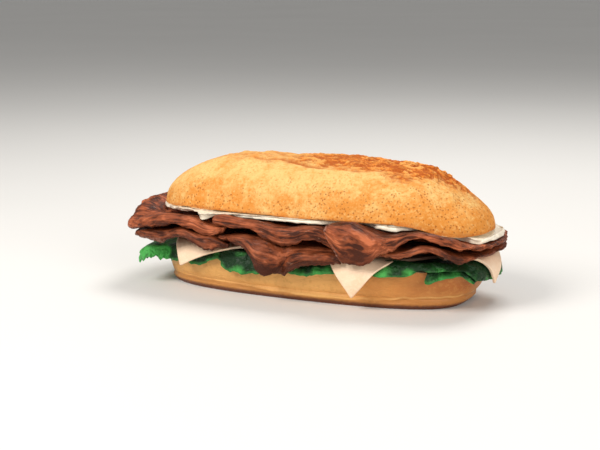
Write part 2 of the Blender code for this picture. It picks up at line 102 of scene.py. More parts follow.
class RollSettings(bpy.types.PropertyGroup):
    pale_gold: bpy.props.FloatVectorProperty(
        name="Pale Gold",
        description="Colour of the crown where it is least baked",
        subtype="COLOR",
        size=3,
        min=0,
        max=1,
        default=(0.80, 0.51, 0.185),
    )
    deep_gold: bpy.props.FloatVectorProperty(
        name="Deep Gold",
        description="Colour of the crown where it is more baked",
        subtype="COLOR",
        size=3,
        min=0,
        max=1,
        default=(0.70, 0.265, 0.045),
    )
    # Brown of the split's crags, the specks and the cut rim, and, lighter, the painted shade in the opened
    # crease
    browned_and_shade: bpy.props.FloatVectorProperty(
        name="Browned",
        description="Colour of the split's crags and of the cut rim",
        subtype="COLOR",
        size=3,
        min=0,
        max=1,
        default=(0.36, 0.095, 0.02),
    )
    tan: bpy.props.FloatVectorProperty(
        name="Tan",
        description="Colour of the lower half's smooth side",
        subtype="COLOR",
        size=3,
        min=0,
        max=1,
        default=(0.74, 0.385, 0.115),
    )
    crag_depth: bpy.props.FloatProperty(
        name="Crag Depth",
        description="Height of the small crags on the crown's split",
        subtype="DISTANCE",
        min=0,
        max=1.5 * MM,
        default=0.8 * MM,
    )
    speck_size: bpy.props.FloatProperty(
        name="Speck Spacing",
        description="Distance between the crust's brown specks",
        subtype="DISTANCE",
        min=0.5 * MM,
        max=5 * MM,
        default=1.7 * MM,
    )


class FillingSettings(bpy.types.PropertyGroup):
    steak: bpy.props.FloatVectorProperty(
        name="Steak",
        description="Middle colour of the roast steak",
        subtype="COLOR",
        size=3,
        min=0,
        max=1,
        default=(0.265, 0.062, 0.0205),
    )
    cheese: bpy.props.FloatVectorProperty(
        name="Cheese",
        description="Colour of the cheese",
        subtype="COLOR",
        size=3,
        min=0,
        max=1,
        default=(0.92, 0.69, 0.49),
    )
    lettuce: bpy.props.FloatVectorProperty(
        name="Lettuce",
        description="Middle colour of the lettuce",
        subtype="COLOR",
        size=3,
        min=0,
        max=1,
        default=(0.028, 0.15, 0.028),
    )
    mayonnaise: bpy.props.FloatVectorProperty(
        name="Mayonnaise",
        description="Colour of the mayonnaise",
        subtype="COLOR",
        size=3,
        min=0,
        max=1,
        default=(0.92, 0.85, 0.70),
    )
    fibre_depth: bpy.props.FloatProperty(
        name="Fibre Depth",
        description="Height of the steak's fibres",
        subtype="DISTANCE",
        min=0,
        max=0.6 * MM,
        default=0.32 * MM,
    )
    ragged_edge: bpy.props.FloatProperty(
        name="Ragged Edge",
        description="How far the steak's lower edges are torn up and down",
        subtype="DISTANCE",
        min=0,
        max=1.5 * MM,
        default=0.5 * MM,
    )
    ruffle_depth: bpy.props.FloatProperty(
        name="Ruffle Depth",
        description="How far the small ruffles move a leaf",
        subtype="DISTANCE",
        min=0,
        max=1 * MM,
        default=0.45 * MM,
    )


class StageSettings(bpy.types.PropertyGroup):
    floor: bpy.props.FloatVectorProperty(
        name="Floor",
        description="Colour of the floor",
        subtype="COLOR",
        size=3,
        min=0,
        max=1,
        default=(0.80, 0.79, 0.77),
    )
    azimuth: bpy.props.FloatProperty(
        name="Azimuth",
        description="Turn of the camera round the sandwich, from the front",
        subtype="ANGLE",
        default=math.radians(25),
    )
    elevation: bpy.props.FloatProperty(
        name="Elevation",
        description="Angle of the camera above the horizon",
        subtype="ANGLE",
        default=math.radians(11),
    )
    distance: bpy.props.FloatProperty(
        name="Distance",
        description="Distance from the camera to the middle of the sandwich",
        subtype="DISTANCE",
        min=0.3,
        default=0.7,
    )
    lens: bpy.props.FloatProperty(
        name="Lens",
        description="Focal length for a 36 mm sensor",
        subtype="DISTANCE_CAMERA",
        default=80.4,
    )
    light: bpy.props.FloatProperty(
        name="Light",
        description="Strength of the main light",
        subtype="POWER",
        unit="POWER",
        min=0,
        default=10,
    )


# Materials


class Value:
    """An output of a material's node, on which Python's operators add Math nodes."""

    def __init__(self, finish, socket):
        self.finish = finish
        self.socket = socket

    def __add__(self, other):
        return self.finish.math("ADD", self, other)

    __radd__ = __add__

    def __sub__(self, other):
        return self.finish.math("SUBTRACT", self, other)

    def __rsub__(self, other):
        return self.finish.math("SUBTRACT", other, self)

    def __mul__(self, other):
        return self.finish.math("MULTIPLY", self, other)

    __rmul__ = __mul__


class Finish:
    """A material under construction, with methods that add its nodes."""

    def __init__(self, name, roughness, **constants):
        self.material = bpy.data.materials.new(name)
        self.material.use_nodes = True
        self.tree = self.material.node_tree
        self.tree.nodes.clear()
        self.shader = self.tree.nodes.new("ShaderNodeBsdfPrincipled")
        self.shader.inputs["Roughness"].default_value = roughness
        for socket, constant in constants.items():
            self.shader.inputs[socket.replace("_", " ")].default_value = constant
        output = self.tree.nodes.new("ShaderNodeOutputMaterial")
        self.tree.links.new(self.shader.outputs["BSDF"], output.inputs["Surface"])

    def node(self, kind, settings=None, inputs=None):
        """Adds a node, makes its settings, then fills its sockets with numbers or links."""
        node = self.tree.nodes.new(kind)
        for name, setting in (settings or {}).items():
            setattr(node, name, setting)
        for key, value in (inputs or {}).items():
            self.fill(node.inputs[key], value)
        return node

    def fill(self, socket, value):
        if isinstance(value, Value):
            self.tree.links.new(value.socket, socket)
        elif socket.type == "RGBA":
            socket.default_value = (*value[:3], 1)
        else:
            socket.default_value = value

    def math(self, operation, *values):
        node = self.node("ShaderNodeMath", {"operation": operation}, dict(enumerate(values)))
        return Value(self, node.outputs[0])

    def place(self, stretch=(1, 1, 1), attribute=None):
        """Places in metres, read from the object or from an attribute, and stretched along its axes."""
        if attribute:
            node = self.node("ShaderNodeAttribute", {"attribute_name": attribute})
            source = Value(self, node.outputs["Vector"])
        else:
            node = self.node("ShaderNodeTexCoord")
            source = Value(self, node.outputs["Object"])
        scaled = self.node("ShaderNodeMapping", {}, {"Vector": source, "Scale": stretch})
        return Value(self, scaled.outputs["Vector"])

    def attribute(self, name):
        """A number that was kept for each point of the mesh."""
        node = self.node("ShaderNodeAttribute", {"attribute_name": name})
        return Value(self, node.outputs["Fac"])

    def axis(self, name):
        """Place along one of the object's axes."""
        split = self.node("ShaderNodeSeparateXYZ", {}, {0: self.place()})
        return Value(self, split.outputs[name])

    def noise(self, place, size, detail=3.0, roughness=0.5, distortion=0.0):
        """Noise that reaches from 0 to 1, with forms of about this size."""
        node = self.node(
            "ShaderNodeTexNoise",
            {"normalize": True},
            {
                "Vector": place,
                "Scale": 1 / size,
                "Detail": detail,
                "Roughness": roughness,
                "Distortion": distortion,
            },
        )
        full = self.node(
            "ShaderNodeMapRange",
            {"clamp": True},
            {"Value": Value(self, node.outputs["Fac"]), "From Min": 0.28, "From Max": 0.72},
        )
        return Value(self, full.outputs["Result"])

    def warped(self, place, size, reach):
        """The place, moved to and fro by noise of this size."""
        node = self.node("ShaderNodeTexNoise", {}, {"Vector": place, "Scale": 1 / size, "Detail": 2.0})
        middle = self.node("ShaderNodeVectorMath", {"operation": "SUBTRACT"}, {1: (0.5, 0.5, 0.5)})
        self.tree.links.new(node.outputs["Color"], middle.inputs[0])
        moved = self.node(
            "ShaderNodeVectorMath",
            {"operation": "MULTIPLY_ADD"},
            {0: Value(self, middle.outputs[0]), 1: (2 * reach,) * 3, 2: place},
        )
        return Value(self, moved.outputs[0])

    def cells(self, place, size, feature="F1"):
        """Distance from the middles of cells of about this size, or from their edges, as a share of it."""
        node = self.node("ShaderNodeTexVoronoi", {"feature": feature}, {"Vector": place, "Scale": 1 / size})
        return Value(self, node.outputs["Distance"])

    def step(self, value, low, high):
        """0 below low, 1 above high and smooth between them. low may be the greater, for a falling step."""
        node = self.node(
            "ShaderNodeMapRange",
            {"interpolation_type": "SMOOTHSTEP"},
            {"Value": value, "From Min": low, "From Max": high},
        )
        return Value(self, node.outputs["Result"])

    def mix(self, share, first, second):
        """The first colour where share is 0 and the second where it is 1."""
        node = self.node("ShaderNodeMix", {"data_type": "RGBA"}, {"Factor": share})
        self.fill(node.inputs[6], first)
        self.fill(node.inputs[7], second)
        return Value(self, node.outputs[2])

    def bump(self, height, depth, before=None):
        """Relief from a height of 0 to 1 that stands for this depth in metres."""
        inputs = {"Height": height, "Distance": depth, "Strength": 1.0}
        if before:
            inputs["Normal"] = before
        node = self.node("ShaderNodeBump", {}, inputs)
        return Value(self, node.outputs["Normal"])

    def set(self, **values):
        for socket, value in values.items():
            self.fill(self.shader.inputs[socket.replace("_", " ")], value)
        return self.material


def tint(colour, factor, warm=1.0):
    """A colour made darker or lighter. warm above 1 takes away green and blue."""
    red, green, blue = colour[:3]
    return (red * factor, green * factor / warm, blue * factor / warm**2)


def baked_crust(settings):
    """Golden crust, cream flecks, brown specks, toasted split, darker rim and painted shade in the opened
    crease.
    """
    finish = Finish("golden_crust", 0.55, Specular_IOR_Level=0.08)
    place = finish.place()
    baked = finish.attribute("baked")
    rise = finish.attribute("rise")
    split = finish.attribute("split")
    flake = finish.attribute("flake")
    crease = finish.attribute("crease")
    patches = finish.noise(place, 11 * MM, 3.0, 0.65)
    mottle = finish.noise(place, 3.4 * MM, 4.0, 0.7)
    grain = finish.noise(place, 1.2 * MM, 3.0, 0.6)
    heat = 0.14 + baked + (patches - 0.5) * 1.3 + (mottle - 0.5) * 1.3
    colour = finish.mix(finish.step(heat, -0.2, 1.15), settings.pale_gold, settings.deep_gold)
    flecks = finish.step(grain * 0.6 + mottle * 0.9, 0.75, 1.35)
    colour = finish.mix(flecks * 0.5, colour, tint(settings.pale_gold, 1.15, 0.84))
    pores = finish.step(grain + patches * 0.4, 0.6, 0.2)
    colour = finish.mix(pores * 0.55, colour, tint(settings.deep_gold, 0.88, 1.2))
    dark, bright = tint(settings.deep_gold, 0.62, 1.5), tint(settings.deep_gold, 1.0, 1.3)
    toast = finish.mix(finish.step(mottle, 0.3, 0.7), dark, bright)
    colour = finish.mix(split * 0.85, colour, toast)
    light = split * finish.step(flake + (grain - 0.5) * 0.9, 0.4, 0.85)
    colour = finish.mix(light * 0.7, colour, tint(settings.pale_gold, 1.05, 1.3))
    crack = split * finish.step(flake + (grain - 0.5) * 0.9, 0.1, -0.5)
    colour = finish.mix(crack * 0.85, colour, tint(settings.browned_and_shade, 1.15, 1.2))
    # Painted shade in the groove of the opened crease
    colour = finish.mix(crease * 0.75, colour, tint(settings.browned_and_shade, 1.3, 0.95))
    specks = finish.cells(place, settings.speck_size)
    chance = finish.noise(place, 7 * MM, 3.0, 0.7)
    dots = finish.step(specks + (grain - 0.5) * 0.2, 0.34, 0.16) * finish.step(baked + chance, 0.72, 1.1)
    colour = finish.mix(dots * 0.75, colour, tint(settings.browned_and_shade, 0.95))
    rim = finish.step(rise + (mottle - 0.5) * 1.8 * MM, 2.0 * MM, 0.4 * MM)
    colour = finish.mix(rim * 0.5, colour, tint(settings.browned_and_shade, 1.2))
    crumb = finish.attribute("cut")
    colour = finish.mix(crumb, colour, CROWN_CRUMB)
    relief = finish.bump(mottle + grain * 0.4, 0.25 * MM)
    pits = finish.step(finish.cells(place, 1.3 * MM), 0.1, 0.5)
    relief = finish.bump(pits, 0.12 * MM, relief)
    rough = 0.5 + mottle * 0.25 + split * 0.15
    return finish.set(Base_Color=colour, Roughness=rough, Normal=relief)


def heel_crust(settings):
    """Smooth tan crust, more orange to the right, with painted light and shade, a pale painted crease line and
    a dark foot.
    """
    finish = Finish("pale_crust", 0.5, Specular_IOR_Level=0.35)
    place = finish.place()
    height = finish.axis("Z")
    level = finish.attribute("level")
    mottle = finish.noise(place, 2.2 * MM, 4.0, 0.6)
    patches = finish.noise(finish.place((0.6, 1, 1.5)), 15 * MM, 3.0)
    along = finish.axis("X") + (patches - 0.5) * 30 * MM
    # More orange towards the right, which is the crust's own colour; the much darker right end is painted
    # shade
    colour = finish.mix(finish.step(along, 0, 60 * MM), settings.tan, tint(settings.tan, 0.93, 1.3))
    colour = finish.mix(finish.step(along, 38 * MM, 82 * MM), colour, tint(settings.tan, 0.5, 1.95))
    # Painted light: the middle of the heel is coloured lighter
    middle = finish.step(along, -45 * MM, -5 * MM) * finish.step(along, 50 * MM, 20 * MM)
    colour = finish.mix(middle * 0.8, colour, tint(settings.tan, 1.16, 1.0))
    colour = finish.mix(patches * 0.3, colour, tint(settings.tan, 1.0, 0.98))
    colour = finish.mix(finish.step(mottle, 0.5, 0.8) * 0.35, colour, tint(settings.tan, 0.78, 1.12))
    # Darker band below the crease, where the side curves under: partly a browner crust, partly painted shade
    band = finish.step(level, 0.4 * MM, -0.9 * MM)
    colour = finish.mix(band * 0.75, colour, tint(settings.tan, 0.52, 1.4))
    # Painted shade: darker and more orange at and below the crease, fading out some 5 mm above it
    low_shade = finish.step(level, 5 * MM, 0.5 * MM) * 0.35
    colour = finish.mix(low_shade, colour, tint(settings.tan, 0.85, 1.2))
    # Painted highlight: a lighter line along the ridge of the crease, in patches
    line = finish.step(level, -0.5 * MM, 0.2 * MM) * finish.step(level, 1.2 * MM, 0.4 * MM)
    colour = finish.mix(line * finish.step(patches, 0.35, 0.65) * 0.5, colour, tint(settings.tan, 1.15, 0.88))
    foot = finish.step(height + (mottle - 0.5) * 0.6 * MM, 3.4 * MM, 1.3 * MM)
    colour = finish.mix(foot * 0.92, colour, FOOT_BROWN)
    crumb = finish.attribute("cut")
    colour = finish.mix(crumb, colour, HEEL_CRUMB)
    relief = finish.bump(mottle, 0.12 * MM)
    wrinkles = finish.noise(finish.place((0.35, 0.35, 1)), 2.6 * MM, 3.0, 0.55, 0.8)
    relief = finish.bump(wrinkles, 0.25 * MM, relief)
    return finish.set(Base_Color=colour, Roughness=0.4 + mottle * 0.22, Normal=relief)


def roast_steak(settings):
    """Moist roast meat, fibres along each slice, painted shade at its edges, fatty streaks and painted glints,
    a wet shine.
    """
    finish = Finish("roast_steak", 0.4, Specular_IOR_Level=0.2)
    fibres = finish.place((0.09, 0.5, 1), "fibre")
    strands = finish.noise(fibres, 0.9 * MM, 3.0, 0.65, 0.3)
    bundles = finish.noise(fibres, 3.0 * MM, 2.0, 0.5, 0.4)
    cloud = finish.noise(finish.place(), 8 * MM, 2.0)
    steak = settings.steak
    lip = finish.attribute("lip")
    shade = finish.attribute("shade")
    # The meat's own dark and light strands, pushed further as painted shade between the strands and painted
    # highlights on them
    tone = strands * 0.55 + bundles * 0.35 + (cloud - 0.5) * 0.35
    colour = finish.mix(finish.step(tone, 0.22, 0.48), tint(steak, 0.2, 1.15), steak)
    colour = finish.mix(finish.step(tone, 0.48, 0.74), colour, tint(steak, 2.0, 0.84))
    # Painted shade in thin fissures along the fibres
    gap = finish.noise(finish.place((0.05, 0.4, 1), "fibre"), 2.2 * MM, 1.0, 0.5, 0.1)
    fissure = finish.step(finish.math("ABSOLUTE", gap - 0.5), 0.07, 0.0)
    colour = finish.mix(fissure * 0.55, colour, tint(steak, 0.16, 1.1))
    # Pale streaks: fatty streaks, and painted glints as well
    fat_and_glint = finish.noise(finish.place((0.2, 0.6, 1), "fibre"), 1.4 * MM, 4.0, 0.7)
    colour = finish.mix(finish.step(fat_and_glint, 0.80, 1.0) * 0.5, colour, FAT_AND_GLINT)
    # Painted shade along the lower part of each slice's edge
    under = finish.step(lip + (bundles - 0.5) * 0.35, 0.42, 0.02)
    colour = finish.mix(under * 0.72, colour, tint(steak, 0.24, 1.15))
    # Painted shade along the top of a slice's edge, under the slice above
    over = finish.step(lip + (strands - 0.5) * 0.2, 0.84, 1.02)
    colour = finish.mix(over * 0.45, colour, tint(steak, 0.3, 1.1))
    pale = finish.attribute("pale") * finish.step(finish.noise(finish.place(), 1.2 * MM), 0.35, 0.6)
    colour = finish.mix(pale * 0.6, colour, PALE_MEAT)
    colour = finish.mix(shade, colour, tint(steak, 0.12, 1.1))
    relief = finish.bump(strands * 0.6 + bundles, 0.6 * MM)
    relief = finish.bump(finish.noise(finish.place(), 0.8 * MM, 2.0), 0.12 * MM, relief)
    rough = 0.30 + finish.noise(finish.place(), 3 * MM, 2.0) * 0.3
    return finish.set(Base_Color=colour, Roughness=rough, Normal=relief)


def white_cheese(settings):
    """Smooth satin cheese, faintly clouded, with painted shade where it lies deep under a slice's arch."""
    finish = Finish("white_cheese", 0.45, Specular_IOR_Level=0.4)
    place = finish.place()
    cloud = finish.noise(place, 9 * MM, 2.0)
    fine = finish.noise(place, 1.2 * MM, 2.0)
    colour = finish.mix(cloud, settings.cheese, tint(settings.cheese, 0.93, 1.08))
    colour = finish.mix(finish.step(fine, 0.55, 0.8) * 0.3, colour, tint(settings.cheese, 1.05, 0.95))
    # Painted shade, in a dark tint of the steak, where the cheese lies deep under a slice's arch
    colour = finish.mix(finish.attribute("deep") * 0.85, colour, tint(settings.steak, 0.4))
    relief = finish.bump(fine + cloud, 0.1 * MM)
    return finish.set(Base_Color=colour, Roughness=0.4 + cloud * 0.15, Normal=relief)


def lettuce_leaf(settings):
    """Crisp green leaf, painted bright where its ruffles stand out and painted dark in its folds, with a net
    of veins.
    """
    finish = Finish("lettuce", 0.45, Specular_IOR_Level=0.25)
    place = finish.place()
    leaf = settings.lettuce
    cloud = finish.noise(place, 5 * MM, 3.0, 0.6)
    bent = finish.warped(place, 4 * MM, 3 * MM)
    veins = finish.cells(bent, 7 * MM, "DISTANCE_TO_EDGE")
    small = finish.cells(bent, 2.2 * MM, "DISTANCE_TO_EDGE")
    # Painted light and shade, with some of the leaf's own uneven tone: lighter where the leaf stands out,
    # darker in its folds
    proud_and_lit = finish.attribute("proud_and_lit") + (cloud - 0.5) * 0.3
    colour = finish.mix(finish.step(proud_and_lit, 0.0, 0.7), tint(leaf, 0.18, 0.85), leaf)
    colour = finish.mix(finish.step(proud_and_lit, 0.5, 1.0), colour, tint(leaf, 2.5, 0.95))
    edge = finish.attribute("edge")
    # Lighter towards the lower edge: partly the leaf's paler margin, partly painted light
    colour = finish.mix(finish.step(edge, 0.6, 1.0) * 0.5, colour, tint(leaf, 1.9, 0.92))
    lit = finish.step(proud_and_lit, 0.1, 0.5)
    rib = finish.step(veins, 0.08, 0.02)
    colour = finish.mix(rib * lit * 0.25, colour, tint(leaf, 2.4, 0.95))
    net = finish.step(small, 0.10, 0.02)
    colour = finish.mix(net * lit * 0.12, colour, tint(leaf, 2.0, 0.95))
    blister = finish.step(small, 0.0, 0.45)
    relief = finish.bump(blister, 0.2 * MM)
    relief = finish.bump(finish.step(veins, 0.0, 0.22), 0.4 * MM, relief)
    return finish.set(Base_Color=colour, Roughness=0.4 + cloud * 0.2, Normal=relief)


def cream_sauce(settings):
    """Thick glossy mayonnaise."""
    finish = Finish("mayonnaise", 0.25, Coat_Weight=0.25, Coat_Roughness=0.15)
    place = finish.place()
    cloud = finish.noise(place, 5 * MM, 3.0)
    colour = finish.mix(cloud, settings.mayonnaise, tint(settings.mayonnaise, 0.92, 1.06))
    relief = finish.bump(finish.noise(place, 2.5 * MM, 2.0), 0.3 * MM)
    return finish.set(Base_Color=colour, Roughness=0.22 + cloud * 0.2, Normal=relief)


# Meshes


def select_only(piece):
    bpy.ops.object.select_all(action="DESELECT")
    piece.select_set(True)
    bpy.context.view_layer.objects.active = piece


def refined(node, sharp=50, crease=0.0, bend=70):
    """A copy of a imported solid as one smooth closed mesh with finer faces, close to the solid's own corners.

    Edges sharper than sharp keep that crease, and triangles are joined over edges that bend less than bend,
    both in degrees.
    """
    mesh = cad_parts[node].data.copy()
    mesh.materials.clear()
    piece = bpy.data.objects.new(node + "_finished", mesh)
    bpy.context.scene.collection.objects.link(piece)
    select_only(piece)
    bpy.ops.mesh.customdata_custom_splitnormals_clear()
    bpy.ops.object.mode_set(mode="EDIT")
    bpy.ops.mesh.select_all(action="SELECT")
    bpy.ops.mesh.remove_doubles(threshold=0.001 * MM)
    if crease:
        bpy.ops.mesh.select_mode(type="EDGE")
        bpy.ops.mesh.select_all(action="DESELECT")
        bpy.ops.mesh.edges_select_sharp(sharpness=math.radians(sharp))
        bpy.ops.transform.edge_crease(value=crease)
        bpy.ops.mesh.select_all(action="SELECT")
    bpy.ops.mesh.tris_convert_to_quads(face_threshold=math.radians(bend), shape_threshold=math.radians(70))
    bpy.ops.object.mode_set(mode="OBJECT")
    smoother = piece.modifiers.new("Finer Faces", "SUBSURF")
    smoother.levels = LEVELS
    smoother.render_levels = LEVELS
    own = points_of(piece)
    fitted = own.copy()
    for _ in range(2):
        move_to(piece, fitted)
        graph = bpy.context.evaluated_depsgraph_get()
        fitted += FIT_SHARE * (own - points_of(piece.evaluated_get(graph))[: len(own)])
    move_to(piece, fitted)
    bpy.ops.object.modifier_apply(modifier=smoother.name)
    bpy.ops.object.shade_smooth()
    return piece


def points_of(piece):
    points = np.empty(len(piece.data.vertices) * 3, np.float32)
    piece.data.vertices.foreach_get("co", points)
    return points.reshape(-1, 3).astype(float)


def normals_of(piece):
    normals = np.empty(len(piece.data.vertices) * 3, np.float32)
    piece.data.vertex_normals.foreach_get("vector", normals)
    return normals.reshape(-1, 3).astype(float)


def move_to(piece, points):
    piece.data.vertices.foreach_set("co", points.astype(np.float32).ravel())
    piece.data.update()


def rough(places, size, seed=0.0):
    """Noise from about -1 to 1 with forms of about this size, at each of the places."""
    scaled = places / size + seed
    return NOISE_REACH * np.array([noise.noise(place) for place in scaled.tolist()])


def stirred(places, size, seed=0.0):
    """Noise vectors, for moving both faces of a thin sheet the same way."""
    scaled = places / size + seed
    return NOISE_REACH * np.array([noise.noise_vector(place) for place in scaled.tolist()])


def smooth_step(values, low, high):
    share = np.clip((values - low) / (high - low), 0, 1)
    return share * share * (3 - 2 * share)


def keep(piece, name, values):
    """Stores one number or one vector for each point, which the material reads by this name."""
    kind, key = ("FLOAT_VECTOR", "vector") if values.ndim == 2 else ("FLOAT", "value")
    attribute = piece.data.attributes.new(name, kind, "POINT")
    attribute.data.foreach_set(key, values.astype(np.float32).ravel())


def span(along, values, places, slots=70):
    """Lowest and highest of the values near each place along X, evened out between neighbouring slots."""
    edges = np.linspace(along.min(), along.max(), slots + 1)
    slot = np.clip(np.digitize(along, edges) - 1, 0, slots - 1)
    low = np.full(slots, np.nan)
    high = np.full(slots, np.nan)
    for index in range(slots):
        inside = values[slot == index]
        if len(inside):
            low[index] = inside.min()
            high[index] = inside.max()
    middles = (edges[:-1] + edges[1:]) / 2
    found = ~np.isnan(low)
    return (
        np.interp(places, middles[found], low[found]),
        np.interp(places, middles[found], high[found]),
    )


def dress(piece, node, material):
    """Gives a piece its material, lets it ride with the sandwich, and lets it stand for its solid."""
    piece.data.materials.append(material)
    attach(piece, "root")
    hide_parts(node)


# Pieces


class MakeHeel(bpy.types.Operator):
    """Make the lower half of the roll, with its smooth side, crease and cut crumb"""

    bl_idname = "sandwich.make_heel"
    bl_label = "Lower Half"

    def execute(self, context):
        piece = refined(HEEL, sharp=28, crease=1.0, bend=20)
        points = points_of(piece)
        normals = normals_of(piece)
        x, _, z = points.T
        top = z.max()
        side = 1 - np.abs(normals[:, 2])
        cut = smooth_step(normals[:, 2], 0.6, 0.95) * smooth_step(z, top - 4 * MM, top - MM)
        level = z - np.interp(x, *CREASE_LINE) + 0.5 * MM * rough(points * (1, 1, 0), 7 * MM, 2.0)
        worn = smooth_step(rough(points * (1, 1, 0), 14 * MM, 6.0), -0.9, 0.3)
        fold = 0.3 * np.exp(-((level / (0.7 * MM)) ** 2)) - 0.35 * np.exp(-((level / MM + 1.6) ** 2))
        wrinkle = rough(points * (0.4, 0.4, 1), 5 * MM, 3.0) * 0.15 * MM
        wrinkle += rough(points, 11 * MM, 8.0) * 0.2 * MM + fold * worn * MM
        wrinkle *= side * smooth_step(z, 1 * MM, 4 * MM)
        crumb = rough(points, 1.1 * MM, 5.0) * 0.2 * MM * cut
        moved = points + normals * (wrinkle + crumb)[:, None]
        moved[:, 2] = np.maximum(moved[:, 2], 0)
        move_to(piece, moved)
        keep(piece, "cut", cut)
        keep(piece, "level", level)
        dress(piece, HEEL, heel_crust(context.scene.sandwich_roll))
        return {"FINISHED"}


class MakeCrown(bpy.types.Operator):
    """Make the upper half of the roll, with its speckled crust, the brown flakes of its split and its painted
    crease shade
    """

    bl_idname = "sandwich.make_crown"
    bl_label = "Upper Half"

    def split_share(self, points):
        """1 on the rough split along the top, 0 on the smooth crust beside it."""
        x, y, _ = points.T
        torn = 2.4 * MM * rough(points * (0.5, 1, 1), 6 * MM, 5.0)
        torn += 2 * MM * rough(points * (0.4, 1, 1), 2 * MM, 1.0)
        front = smooth_step(y - np.interp(x, *SPLIT_FRONT) + torn, -4.5 * MM, 4.5 * MM)
        back = smooth_step(np.interp(x, *SPLIT_BACK) - y + torn, -4.5 * MM, 4.5 * MM)
        ends = smooth_step(x + torn, -68 * MM, -54 * MM) * smooth_step(x + torn, 90 * MM, 80 * MM)
        return front * back * ends * (0.35 + 0.65 * smooth_step(x + 2 * torn, -22 * MM, 6 * MM))

    def flakes(self, points, share):
        """Height of the torn flakes, from -1 in the cracks between them to about 1, where the split is."""
        heights = np.zeros(len(points))
        for index in np.flatnonzero(share > 0.01):
            place = Vector(points[index] * (0.26, 1, 1) / (2.7 * MM))
            distances, middles = noise.voronoi(place + 0.6 * noise.noise_vector(place * 1.5))
            inside = min(1, 3.5 * (distances[1] - distances[0]))
            lift = 1 + 0.9 * NOISE_REACH * noise.noise(middles[0] * 3.1)
            heights[index] = inside * lift - 1 + 0.5 * inside
        return heights

    def opened_crease(self, x, y):
        """How much each place is in the crease beside the split's left part, and on the lip behind it."""
        along = smooth_step(x, -40 * MM, -20 * MM) * smooth_step(x, 17 * MM, 9 * MM)
        across = (y - np.interp(x, *OPENED_CREASE)) / MM
        return along * np.exp(-((across / 0.8) ** 2)), along * np.exp(-(((across - 2) / 1.3) ** 2))

    def execute(self, context):
        settings = context.scene.sandwich_roll
        piece = refined(CROWN, crease=0.6)
        points = points_of(piece)
        normals = normals_of(piece)
        x, y, z = points.T
        rim, _ = span(x, z, x)
        split = self.split_share(points) * smooth_step(normals[:, 2], 0.0, 0.3)
        flake = self.flakes(points, split)
        crease, lip = self.opened_crease(x, y)
        above = smooth_step(normals[:, 2], 0.0, 0.3)
        cut = smooth_step(-normals[:, 2], 0.6, 0.95)
        skin = rough(points, 12 * MM, 9.0) * 0.18 * MM + rough(points, 1.6 * MM, 7.0) * 0.06 * MM
        relief = skin * (1 - cut) + above * (0.5 * lip - 0.8 * crease) * MM
        fine = rough(points, 1.3 * MM, 6.0) * 0.25 + rough(points * (0.6, 1, 1), 6 * MM, 2.0) * 0.6
        relief += split * settings.crag_depth * (0.7 * flake + fine)
        move_to(piece, points + normals * relief[:, None])
        right = smooth_step(x, -20 * MM, 85 * MM)
        low = 1 - smooth_step(z - rim, 1 * MM, 21 * MM)
        toasted = low * np.exp(-(((x + 45 * MM) / (22 * MM)) ** 2))
        keep(piece, "baked", 0.4 * right + 0.55 * low + 0.25 * toasted)
        keep(piece, "rise", z - rim)
        keep(piece, "split", split)
        keep(piece, "flake", flake)
        # Where the material paints shade in the opened crease's groove
        keep(piece, "crease", crease * above)
        keep(piece, "cut", cut)
        dress(piece, CROWN, baked_crust(settings))
        return {"FINISHED"}


class MakeMayonnaise(bpy.types.Operator):
    """Make the spread of mayonnaise with its drip, its lumps and its pressed right end"""

    bl_idname = "sandwich.make_mayonnaise"
    bl_label = "Mayonnaise"

    def execute(self, context):
        piece = refined(MAYONNAISE)
        points = points_of(piece)
        normals = normals_of(piece)
        lumps = rough(points, 3.5 * MM, 1.0) * 0.25 * MM + rough(points, 1.4 * MM, 4.0) * 0.06 * MM
        moved = points + normals * lumps[:, None]
        x, y, z = points.T
        low, _ = span(x, z, x)
        upper = smooth_step(z - low, 0, 4 * MM)
        moved[:, 2] -= 1.8 * MM * upper * smooth_step(x, 88 * MM, 95 * MM)
        moved[:, 1] -= 1.2 * MM * smooth_step(-y, 20 * MM, 30 * MM) * smooth_step(-x, -25 * MM, -10 * MM)
        move_to(piece, moved)
        dress(piece, MAYONNAISE, cream_sauce(context.scene.sandwich_filling))
        return {"FINISHED"}


